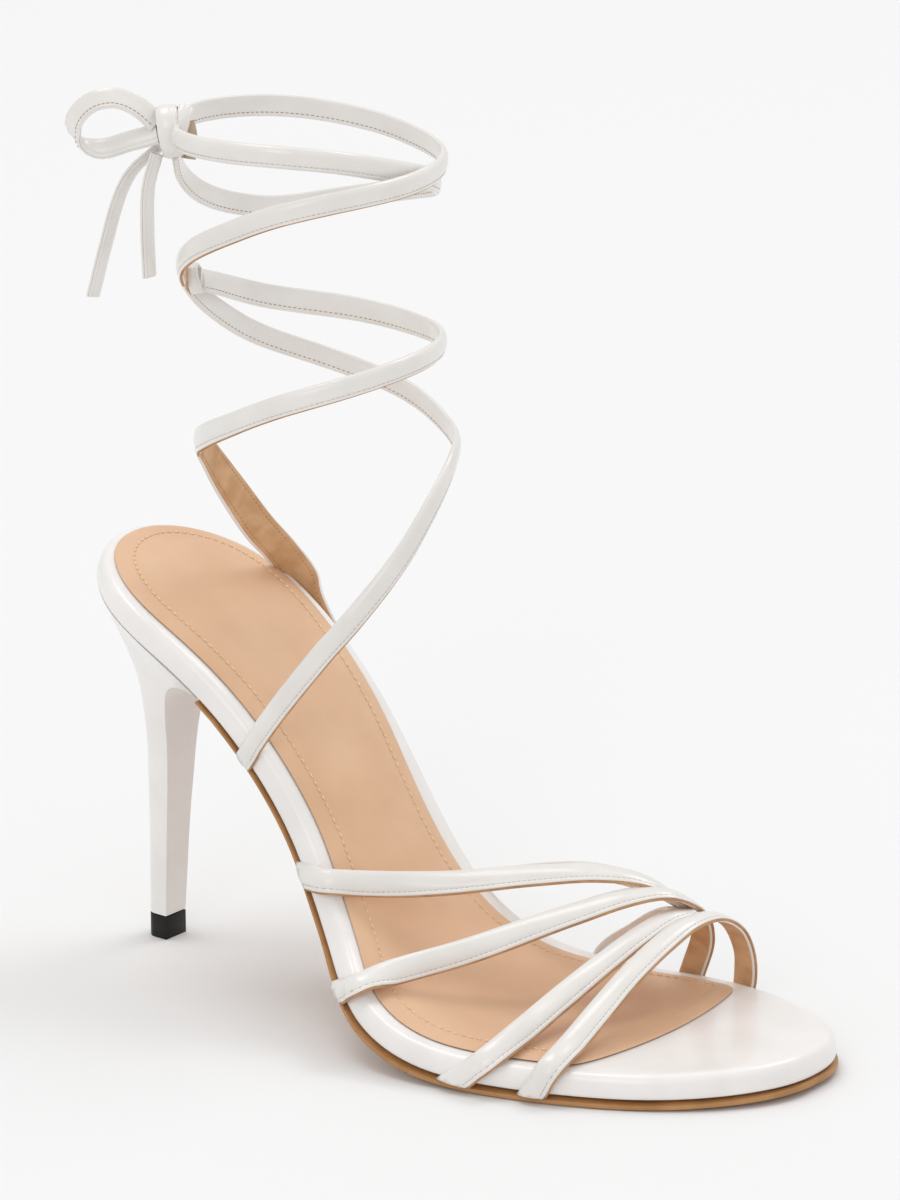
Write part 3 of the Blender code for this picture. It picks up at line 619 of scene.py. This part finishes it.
def rollBand(name, places, ways, sizes, skins, closed=False):
    # a grid rolled into a band: its rows follow the path, its columns the strap section
    rows = np.hstack([places, ways, sizes])
    knots = pathLengths(rows[:, :3])
    at = np.linspace(0.0, knots[-1], max(4, int(knots[-1] / section["step"]) + 1))
    fine = smoothPath(rows, knots, at)
    path = fine[:, :3]
    along = unit(np.gradient(path, axis=0))
    if closed:
        fine[-1] = fine[0]
        along[[0, -1]] = unit(along[:1] + along[-1:])
    out = unit(fine[:, 3:6] - along * np.sum(fine[:, 3:6] * along, axis=1)[:, None])
    across = np.cross(along, out)
    around = len(section["rows"])
    bpy.ops.object.select_all(action="DESELECT")
    bpy.ops.mesh.primitive_grid_add(x_subdivisions=around, y_subdivisions=len(path) - 1, size=1.0)
    band = bpy.context.object
    band.name = name
    band.data.name = name
    shape = np.array(section["rows"])[list(range(around)) + [0]]
    wide = shape[:, 0] / section["width"]
    high = shape[:, 1] / section["thick"]
    grid = path[:, None] + across[:, None] * (fine[:, 6:7] * wide)[:, :, None]
    grid = grid + out[:, None] * (fine[:, 7:8] * high)[:, :, None]
    band.data.vertices.foreach_set("co", (grid * mm).astype(np.float32).ravel())
    for skin in skins:
        band.data.materials.append(skin)
    layers = np.tile(shape[:-1, 2].astype(np.int32), len(path) - 1)
    band.data.polygons.foreach_set("material_index", layers)
    onlySelect(band)
    bpy.ops.object.mode_set(mode="EDIT")
    bpy.ops.mesh.select_all(action="SELECT")
    bpy.ops.mesh.remove_doubles(threshold=section["weld"] * mm)
    if not closed:
        bpy.ops.mesh.select_all(action="DESELECT")
        bpy.ops.mesh.select_mode(type="EDGE")
        bpy.ops.mesh.select_non_manifold()
        bpy.ops.mesh.fill_holes(sides=0)
        bpy.ops.mesh.select_all(action="SELECT")
    bpy.ops.mesh.normals_make_consistent(inside=False)
    bpy.ops.object.mode_set(mode="OBJECT")
    smoothen(band, section["sharpAngle"])
    return band, {"path": path, "along": along, "across": across, "out": out, "sizes": fine[:, 6:8]}


def seamRow(run, inside, side, skip=(0.0, 0.0)):
    # places and frames of a row of stitches near one edge of a band, between two distances from its ends
    lengths = pathLengths(run["path"])
    pitch = section["stitch"]["pitch"]
    at = np.arange(skip[0] + pitch, lengths[-1] - skip[1], pitch)
    along = unit(readAlong(at, lengths, run["along"]))
    out = unit(readAlong(at, lengths, run["out"]))
    across = np.cross(along, out)
    sizes = readAlong(at, lengths, run["sizes"])
    rise = section["inSeamRise"] if inside else section["outSeamRise"]
    places = readAlong(at, lengths, run["path"])
    places = places + across * (side * section["seamAcross"] / section["width"] * sizes[:, :1])
    places = places + out * (rise / section["thick"] * sizes[:, 1:])
    return places, np.stack([along, across, out], axis=1)


def sewRows(name, rows, thread):
    places = np.vstack([row[0] for row in rows])
    frames = np.concatenate([row[1] for row in rows])
    return stitchMesh(name, places, frames, section["stitch"], thread)


# toe straps: places of the inner face, from the outer wall to the inner one; rim, wall and foot of each end
# lift raises a strap where they all cross, so that it lies over or under its neighbours
toeStraps = {
    "width": 6.3,
    "thick": 2.0,
    "ease": 24.0,
    "rimLift": 0.35,
    "sink": 0.55,
    "crossing": (148.0, 24.0, 31.0),
    "crossingReach": 26.0,
    "core": [  # middle of the foot: x, y, z
        (60, 4.0, 64.6), (75, 2.5, 43.2), (90, -1.7, 26.8), (100, -3.5, 20.3), (110, -2.1, 16.2),
        (120, 0.8, 14.0), (130, 3.6, 13.1), (145, 7.5, 12.9), (160, 10.6, 12.9),
    ],
    "tiltFade": (10.0, 32.0),
    "straps": {
        "rearOuterStrap": {
            "lift": -0.5,
            "tilt": (0.5, -0.6, 0.0),
            "outer": [(74.8, -28.1, 39.1), (71.8, -27.6, 38.9), (69.3, -27.3, 38.8)],
            "air": [(82.6, -20.9, 38.3), (97.0, -9.8, 38.0), (116.4, 4.3, 40.2),
                    (129.0, 13.6, 40.8), (139.0, 20.8, 38.4), (145.2, 26.0, 33.0)],
        },
        "frontOuterStrap": {
            "lift": 0.0,
            "tilt": (0.45, -0.45, 0.0),
            "outer": [(94.3, -40.8, 19.4), (91.9, -40.1, 18.1), (89.7, -39.5, 17.0)],
            "air": [(100.5, -31.2, 22.2), (112.0, -17.5, 26.0), (129.2, 2.8, 33.2), (138.8, 13.9, 36.5),
                    (145.0, 20.8, 36.3), (148.2, 26.6, 32.2), (145.8, 34.4, 23.6)],
            "inner": [(137.4, 42.4, 8.7), (136.6, 42.4, 6.2), (136.0, 42.4, 4.1)],
        },
        "rearToeStrap": {
            "lift": 0.2,
            "tilt": (0.25, -0.15, 0.0),
            "outer": [(133.8, -40.3, 8.7), (130.9, -41.1, 6.3), (128.5, -41.8, 4.3)],
            "air": [(137.0, -29.0, 14.0), (138.7, -14.1, 19.0), (141.9, -1.9, 24.4), (145.2, 9.8, 29.2),
                    (148.0, 18.6, 31.7), (150.2, 24.0, 31.2)],
        },
        "frontToeStrap": {
            "lift": 0.7,
            "tilt": (0.2, -0.1, 0.0),
            "outer": [(149.7, -35.3, 8.7), (148.3, -35.9, 6.2), (147.1, -36.3, 4.1)],
            "air": [(150.2, -26.0, 13.0), (150.9, -13.9, 19.2), (151.5, -3.0, 24.5), (152.3, 8.7, 28.5),
                    (153.0, 18.3, 30.7), (153.8, 28.0, 29.7), (154.0, 36.0, 24.9), (153.8, 40.9, 17.4)],
            "inner": [(151.8, 44.5, 8.7), (151.8, 44.5, 6.2), (151.8, 44.5, 4.1)],
        },
        "rearInnerStrap": {
            "lift": -0.4,
            "tilt": (0.0, 0.0, 0.0),
            "air": [(146.0, 26.5, 31.6), (136.0, 29.0, 33.0), (117.0, 30.8, 33.4), (97.0, 28.6, 29.2)],
            "inner": [(86.0, 25.4, 26.1), (83.2, 25.3, 25.4), (80.8, 25.2, 24.9)],
        },
        "frontInnerStrap": {
            "lift": -0.6,
            "tilt": (0.0, 0.0, 0.0),
            "lean": (0.3, -0.35, 0.2),
            "air": [(147.5, 25.0, 30.6), (142.0, 28.6, 28.8), (134.4, 32.2, 24.6), (125.0, 34.6, 17.6)],
            "inner": [(115.9, 35.8, 10.5), (114.6, 35.5, 8.2), (113.5, 35.1, 6.3)],
        },
    },
    "paleInside": ["rearInnerStrap", "frontInnerStrap"],
    "twoSeams": ["rearToeStrap", "frontToeStrap"],
}
# ends of straps and ties on the sole's wall: how far they run on, and where they are cut off
wallFoot = {
    "past": 2.4,  # times the way from the rim to the wall's middle
    "underStep": 5.0,
    "cutReach": 14.0,
}


def wallEnd(rows, sink, rimLift):
    # an end on the sole's wall: places pressed a little into it and run on past its foot, with the ways out
    place, normal, face, distance = platformTree.find_nearest(Vector(rows[1]) * mm)
    out = np.array(normal)
    places = np.array(rows, float)
    places[2] = places[1] + (places[1] - places[0]) * wallFoot["past"]
    places[1:] -= out * sink
    ways = np.array([out + (0.0, 0.0, rimLift), out + (0.0, 0.0, rimLift / 2), out])
    return places, ways


def cutEnd(band, rows):
    # the end stops at the seam under the platform, level with its underside
    foot = np.array(rows[2], float)
    place, normal, face, distance = platformTree.find_nearest(Vector(rows[1]) * mm)
    below = Vector(foot - wallFoot["underStep"] * np.array(normal)) * mm
    under, down, face, distance = platformTree.find_nearest(below)
    onlySelect(band)
    bpy.ops.object.mode_set(mode="EDIT")
    bpy.ops.mesh.select_mode(type="FACE")
    bpy.ops.mesh.select_all(action="DESELECT")
    bpy.ops.object.mode_set(mode="OBJECT")
    for face in band.data.polygons:
        face.select = (face.center - Vector(foot) * mm).length < wallFoot["cutReach"] * mm
    bpy.ops.object.mode_set(mode="EDIT")
    bpy.ops.mesh.bisect(plane_co=under, plane_no=down, use_fill=True, clear_outer=True)
    bpy.ops.object.mode_set(mode="OBJECT")


def easeWays(places, ways, rim, wallWay, reach):
    # turns the ways out towards the wall's, the nearer a place is to the rim
    share = np.clip(1.0 - np.linalg.norm(places - rim, axis=1) / reach, 0.0, 1.0)[:, None] ** 2
    return ways * (1.0 - share) + wallWay * share


def strapRun(strap):
    air = np.array(strap["air"], float)
    core = np.array(toeStraps["core"], float)
    y = np.interp(air[:, 0], core[:, 0], core[:, 1])
    z = np.interp(air[:, 0], core[:, 0], core[:, 2])
    ways = unit(np.column_stack([np.zeros(len(air)), air[:, 1] - y, air[:, 2] - z]))
    fade = np.interp(air[:, 1], toeStraps["tiltFade"], (1.0, 0.0))[:, None]
    ways = unit(ways + np.array(strap["tilt"]) * fade + np.array(strap.get("lean", (0.0, 0.0, 0.0))))
    near = np.linalg.norm(air - np.array(toeStraps["crossing"]), axis=1) / toeStraps["crossingReach"]
    air = air + ways * (strap["lift"] * np.clip(1.0 - near, 0.0, 1.0) ** 0.5)[:, None]
    places = air
    if "outer" in strap:
        wall, wallWays = wallEnd(strap["outer"], toeStraps["sink"], toeStraps["rimLift"])
        ways = easeWays(places, ways, wall[0], wallWays[0], toeStraps["ease"])
        places = np.vstack([wall[::-1], places])
        ways = np.vstack([wallWays[::-1], ways])
    if "inner" in strap:
        wall, wallWays = wallEnd(strap["inner"], toeStraps["sink"], toeStraps["rimLift"])
        ways = easeWays(places, ways, wall[0], wallWays[0], toeStraps["ease"])
        places = np.vstack([places, wall])
        ways = np.vstack([ways, wallWays])
    return places, ways


strapPieces = []
toeSeams = []
for name, strap in toeStraps["straps"].items():
    places, ways = strapRun(strap)
    sizes = np.tile((toeStraps["width"], toeStraps["thick"]), (len(places), 1))
    inside = legLining if name in toeStraps["paleInside"] else strapLining
    band, run = rollBand(name, places, ways, sizes, [strapLeatherPaintedShade, rawTan, inside, strapLeatherPaintedShade])
    for end in ("outer", "inner"):
        if end in strap:
            cutEnd(band, strap[end])
    strapPieces.append(band)
    skip = [section["endSkip"] if end in strap else 0.0 for end in ("outer", "inner")]
    toeSeams.append(seamRow(run, False, 1.0, skip))
    if name in toeStraps["twoSeams"]:
        toeSeams.append(seamRow(run, False, -1.0, skip))
onlySelect(strapPieces[0])
for band in strapPieces[1:]:
    band.select_set(True)
bpy.ops.object.join()
vampPiece = bpy.context.object
vampPiece.name = "toeStraps"
seat(vampPiece, "white_leather", "vamp_straps")
sewRows("toeStitches", toeSeams, paleThread)
print("toe straps made")

# ankle ties: turn in degrees from the toe towards the inner side, height, distance inside the ankle form
ankle = {"radius": 33.0, "x": 48.3, "xHeight": 215.0, "lean": 0.08, "windStep": 10.0}
ties = {
    "width": 5.3,
    "thick": 1.9,
    "sink": 0.45,
    "nearWay": (0.6, -0.8),  # the side of the ankle where the raw edge shows
    "lateral": {
        "ease": 40.0,
        "endSkip": 3.6,
        "baseWidth": 5.3,
        "wall": [(52.0, -26.6, 70.1), (50.5, -26.5, 68.0), (49.3, -26.5, 66.3)],
        "wound": [
            (-58, 98.6, 0.0), (-22, 120.8, 0.0), (0, 133.0, 0.6), (20, 139.8, 1.2), (40, 141.8, 1.4),
            (62, 143.4, 1.0), (91, 148.6, 0.0), (126, 155.2, 0.0), (158, 163.0, 0.0), (184, 173.0, 0.7),
            (208, 182.6, 1.0), (236, 191.6, 0.7), (272, 201.5, 0.0), (294, 206.8, 0.0), (320, 210.4, 0.0),
            (362, 212.6, 0.0), (432, 214.6, 0.0), (458, 216.8, 0.0), (500, 220.0, 0.0), (536, 221.0, 0.0),
            (567, 220.6, 0.0),
        ],
        "tanTurns": (200.0, 216.0),
        "tanHeights": (178.0, 190.0),
    },
    "medial": {
        "ease": 42.0,
        "endSkip": 7.6,
        "baseWidth": 10.4,
        "taper": [(0.0, 9.8), (14.0, 8.4), (40.0, 8.2), (90.0, 5.3)],  # distance from the rim, width
        "rimWay": (-0.35, 0.85, 0.25),
        "wall": [(22.1, 29.0, 93.6), (24.5, 29.4, 89.0), (26.4, 28.9, 85.2)],
        "wound": [
            (147.8, 102.4, -9.6), (156.6, 109.9, -6.4), (170, 122.4, -4.5), (186, 133.2, -1.4),
            (206, 140.6, 1.2), (230, 145.6, 2.6), (254, 151.1, 3.2), (292, 159.8, 3.2), (333, 165.6, 3.2),
            (362, 167.6, 3.2), (400, 168.0, 3.2), (437, 167.6, 3.2), (473, 169.2, 3.2), (494, 170.6, 3.2),
            (514, 172.9, 3.3), (547, 179.2, 3.5), (564, 182.0, 3.6),
        ],
        "tanShare": 0.3,
    },
    "collar": {
        "wound": [
            (213, 220.2, 3.0), (221, 220.3, 2.7), (232, 220.7, 1.7), (252, 221.2, 1.2), (277, 221.5, 1.2),
            (298, 221.3, 1.4), (322, 219.8, 2.0), (345, 216.8, 2.7), (366, 213.6, 2.8), (384, 210.6, 2.7),
            (398, 208.0, 2.2), (412, 205.6, 1.4), (440, 201.4, 1.0), (475, 196.8, 1.0), (504, 194.8, 1.0),
            (522, 196.4, 1.0), (541, 200.4, 1.0), (558, 206.2, 1.2), (568, 210.6, 1.4), (576, 215.2, 1.6),
        ],
    },
}


def anklePlace(turn, height, inside):
    angle = math.radians(turn)
    out = np.array([math.cos(angle), math.sin(angle), 0.0])
    axis = np.array([ankle["x"] + (ankle["xHeight"] - height) * ankle["lean"], 0.0, height])
    return axis + out * (ankle["radius"] - inside), out


def axesAt(turn, height, inside):  # a place on the ankle form, with the ways outwards, along and up
    middle, out = anklePlace(turn, height, inside)
    return middle, np.array([out, np.cross((0.0, 0.0, 1.0), out), (0.0, 0.0, 1.0)])


def windTie(name, tie, rawEdge):
    # skins: folded leather, raw edge, inside, its turned edge, tan back
    rows = np.array(tie["wound"], float)
    turns = np.linspace(rows[0, 0], rows[-1, 0], int((rows[-1, 0] - rows[0, 0]) / ankle["windStep"]) + 1)
    wound = [anklePlace(*row) for row in smoothPath(rows, rows[:, 0], turns)]
    places = np.array([place for place, out in wound])
    ways = np.array([out for place, out in wound])
    widths = np.full(len(places), ties["width"])
    if "wall" in tie:
        wall, wallWays = wallEnd(tie["wall"], ties["sink"], 0.0)
        if "rimWay" in tie:  # flared at its base and turned towards the heel as it leaves the wall
            away = np.linalg.norm(places - wall[0], axis=1)
            widths = np.interp(away, *np.array(tie["taper"]).T)
            wallWays[0] = tie["rimWay"]
        ways = easeWays(places, ways, wall[0], wallWays[0], tie["ease"])
        places = np.vstack([wall[::-1], places])
        ways = np.vstack([wallWays[::-1], ways])
        widths = np.concatenate([np.full(len(wall), tie["baseWidth"]), widths])
    sizes = np.column_stack([widths, np.full(len(widths), ties["thick"])])
    skins = [strapLeatherPaintedShade, rawEdge, strapLeatherPaintedShade, strapLeatherPaintedShade, strapLining]
    return rollBand(name, places, ways, sizes, skins)


lateralPiece, lateralRun = windTie("outerTie", ties["lateral"], rawTan)
medialPiece, medialRun = windTie("innerTie", ties["medial"], rawTan)
cutEnd(lateralPiece, ties["lateral"]["wall"])
cutEnd(medialPiece, ties["medial"]["wall"])
collarPiece, collarRun = windTie("collarLoop", ties["collar"], strapLeatherPaintedShade)
# the inner tie is lined with tan from its base to the back of the ankle
tanRows = len(medialRun["path"]) * ties["medial"]["tanShare"]
for face in medialPiece.data.polygons:
    row = np.argmin(np.linalg.norm(medialRun["path"] - np.array(face.center) / mm, axis=1))
    if face.material_index in (2, 3) and row < tanRows:
        face.material_index = 4
# the outer tie shows its tan back where it turns inside the other tie's loop
for face in lateralPiece.data.polygons:
    turn = math.degrees(math.atan2(face.center.y, face.center.x - ankle["x"] * mm)) % 360.0
    low, high = ties["lateral"]["tanHeights"]
    first, last = ties["lateral"]["tanTurns"]
    if face.material_index in (2, 3) and low * mm < face.center.z < high * mm and first < turn < last:
        face.material_index = 4
# the raw edge is inked white on the inner half of each turn
nearWay = Vector(ties["nearWay"])
ankleMiddle = Vector((ankle["x"], 0.0)) * mm
for tie in (lateralPiece, medialPiece):
    for face in tie.data.polygons:
        if face.material_index == 1 and (face.center.xy - ankleMiddle).dot(nearWay) < 0.0:
            face.material_index = 0
outerSkip = (ties["lateral"]["endSkip"], 0.0)
innerSkip = (ties["medial"]["endSkip"], 0.0)
whiteLength = pathLengths(medialRun["path"])[-1] * (1.0 - ties["medial"]["tanShare"])
tieSeams = [seamRow(lateralRun, False, 1.0, outerSkip), seamRow(medialRun, False, 1.0, innerSkip),
            seamRow(collarRun, False, 1.0)]
backSeams = [seamRow(lateralRun, True, 1.0, outerSkip), seamRow(medialRun, True, 1.0, innerSkip),
             seamRow(collarRun, True, 1.0), seamRow(medialRun, True, -1.0, (innerSkip[0], whiteLength))]
sewRows("tieStitches", tieSeams, paleThread)
sewRows("tieBackStitches", backSeams, brownThread)
seat(lateralPiece, "white_leather", "lateral_tie")
seat(medialPiece, "white_leather", "medial_tie")
seat(collarPiece, "white_leather", "collar_loop")
print("ankle ties wound")

# bow: places from the knot's middle, outwards from the ankle, along it, upwards
bow = {
    "turn": 216.0,
    "height": 220.4,
    "out": -0.1,
    "loop": {
        "rows": [(3.0, 0.4, 2.4), (8.5, 0.6, 7.0), (14.0, 0.8, 8.8), (20.4, 0.6, 7.0), (24.4, 0.2, 1.8),
                 (23.0, -0.4, -3.4), (17.6, -0.6, -4.9), (9.5, 0.0, -2.6), (3.0, 0.4, -0.8)],
        "widthWays": [(0.35, 0.6, -0.7), (0.1, 0.6, -0.8), (-0.25, 0.6, -0.75), (-0.5, 0.6, -0.6),
                      (-0.65, 0.6, -0.45), (-0.55, 0.6, -0.55), (-0.35, 0.6, -0.7), (-0.2, 0.6, -0.75),
                      (-0.1, 0.6, -0.78)],
        "length": 0.048,  # metres, here and in the two tails
        "farEnd": "object",
    },
    "longTail": {
        "rows": [(3.4, -2.6, -4.0), (10.4, -3.6, -10.6), (13.2, -3.6, -15.8), (17.4, -3.0, -29.8),
                 (20.6, -2.4, -42.2)],
        "widthWays": [(0.45, 0.88, 0.14)],
        "length": 0.043,
        "farEnd": "bare",
    },
    "shortTail": {
        "rows": [(3.9, 1.5, -5.3), (6.0, 2.6, -13.0), (6.4, 2.8, -24.0), (6.1, 2.6, -36.0)],
        "widthWays": [(0.45, 0.89, 0.0)],
        "length": 0.032,
        "farEnd": "bare",
    },
    "core": (3.4, 3.7, 5.6),
    "corePower": 0.75,
    "coreSteps": (24, 16),
    "sharpAngle": 60.0,
    "ringSteps": 29,
    # turns of the knot: middle (outwards, along, up), half sizes along and up,
    # drift outwards per along and per up, width
    "wraps": [
        ((0.2, 0.2, -0.1), (4.0, 5.6), 0.0, 0.16, 5.0),
        ((-2.2, -0.3, 0.5), (3.2, 5.2), 0.0, -0.3, 3.6),
    ],
    "wrapThick": 1.2,
    "flap": [(-4.2, -1.4, 2.2), (-4.9, -1.7, -2.6), (-4.4, -1.2, -7.2)],
    "flapWidth": 3.4,
}
knotSeat = axesAt(bow["turn"], bow["height"], -bow["out"])


def bowBand(name, seatAt, rows, widthWays, width, thick, skins, closed=False):
    # a band whose rows and width ways are measured from a seat's middle, along its axes
    middle, axes = seatAt
    points = middle + np.array(rows, float) @ axes
    wide = np.array(widthWays) @ axes
    out = unit(np.cross(wide, np.gradient(points, axis=0)))
    if closed:
        out[[0, -1]] = unit(out[:1] + out[-1:])
    sizes = np.tile((width, thick), (len(points), 1))
    return rollBand(name, points, out, sizes, skins, closed)


def ringRows(middle, half, perAlong, perUp):
    # a ring round the strap ends, leant by its drift outwards
    turns = np.radians(np.linspace(-180, 180, bow["ringSteps"]))
    return [(middle[0] + perAlong * half[0] * math.cos(t) + perUp * half[1] * math.sin(t),
             middle[1] + half[0] * math.cos(t), middle[2] + half[1] * math.sin(t)) for t in turns]


bowSeams = []
for key, name, node in (("loop", "bowLoop", "bow_loop"), ("longTail", "bowTailLong", "bow_tail_long"),
                        ("shortTail", "bowTailShort", "bow_tail_short")):
    part = bow[key]
    piece, run = bowBand(name, knotSeat, part["rows"], part["widthWays"], ties["width"], ties["thick"],
                         [strapLeatherPaintedShade] * 4)
    seat(piece, "white_leather", node)
    middle = (run["path"] + run["out"] * ties["thick"] / 2) * mm
    bowSeams.append(seamRow(run, False, -1.0))
    bowSeams.append(seamRow(run, True, 1.0))
sewRows("bowStitches", bowSeams, brownThread)

# knot: a soft core, with two turns of strap drawn tight over it
bpy.ops.object.select_all(action="DESELECT")
coreSegments, coreRings = bow["coreSteps"]
bpy.ops.mesh.primitive_uv_sphere_add(segments=coreSegments, ring_count=coreRings, radius=1.0)
knotPiece = bpy.context.object
knotPiece.name = "bowKnot"
knotMiddle, knotAxes = knotSeat
for vert in knotPiece.data.vertices:
    soft = [math.copysign(abs(c) ** bow["corePower"], c) * half for c, half in zip(vert.co, bow["core"])]
    vert.co = Vector((knotMiddle + np.array(soft) @ knotAxes) * mm)
knotPiece.data.materials.append(strapLeatherPaintedShade)
smoothen(knotPiece, bow["sharpAngle"])
wrapPieces = []
for number, (middle, half, perAlong, perUp, width) in enumerate(bow["wraps"]):
    rows = ringRows(middle, half, perAlong, perUp)
    wrap, run = bowBand("knotWrap" + str(number), knotSeat, rows, [(-1.0, perAlong, perUp)], width,
                        bow["wrapThick"], [strapLeatherPaintedShade] * 4, True)
    wrapPieces.append(wrap)
flap, run = bowBand("knotFlap", knotSeat, bow["flap"], [(1.0, 0.0, 0.0)], bow["flapWidth"],
                    bow["wrapThick"], [knotTan] * 4)
wrapPieces.append(flap)
onlySelect(knotPiece)
for wrap in wrapPieces:
    wrap.select_set(True)
bpy.ops.object.join()
seat(knotPiece, "white_leather", "bow_knot")

# cuff at the inner tie's end, where it is sewn back round the outer tie
sleeve = {
    "turn": 205.0,
    "height": 182.0,
    "inside": 2.3,
    "half": (2.0, 3.2),
    "perUp": 0.25,
    "width": 3.2,
    "thick": 1.0,
}
sleeveSeat = axesAt(sleeve["turn"], sleeve["height"], sleeve["inside"])
ring = ringRows((0.0, 0.0, 0.0), sleeve["half"], 0.0, sleeve["perUp"])
sleevePiece, run = bowBand("innerTieSleeve", sleeveSeat, ring, [(-1.0, 0.0, sleeve["perUp"])],
                           sleeve["width"], sleeve["thick"], [strapLeatherPaintedShade] * 4, True)
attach(sleevePiece, "root")
print("bow tied")
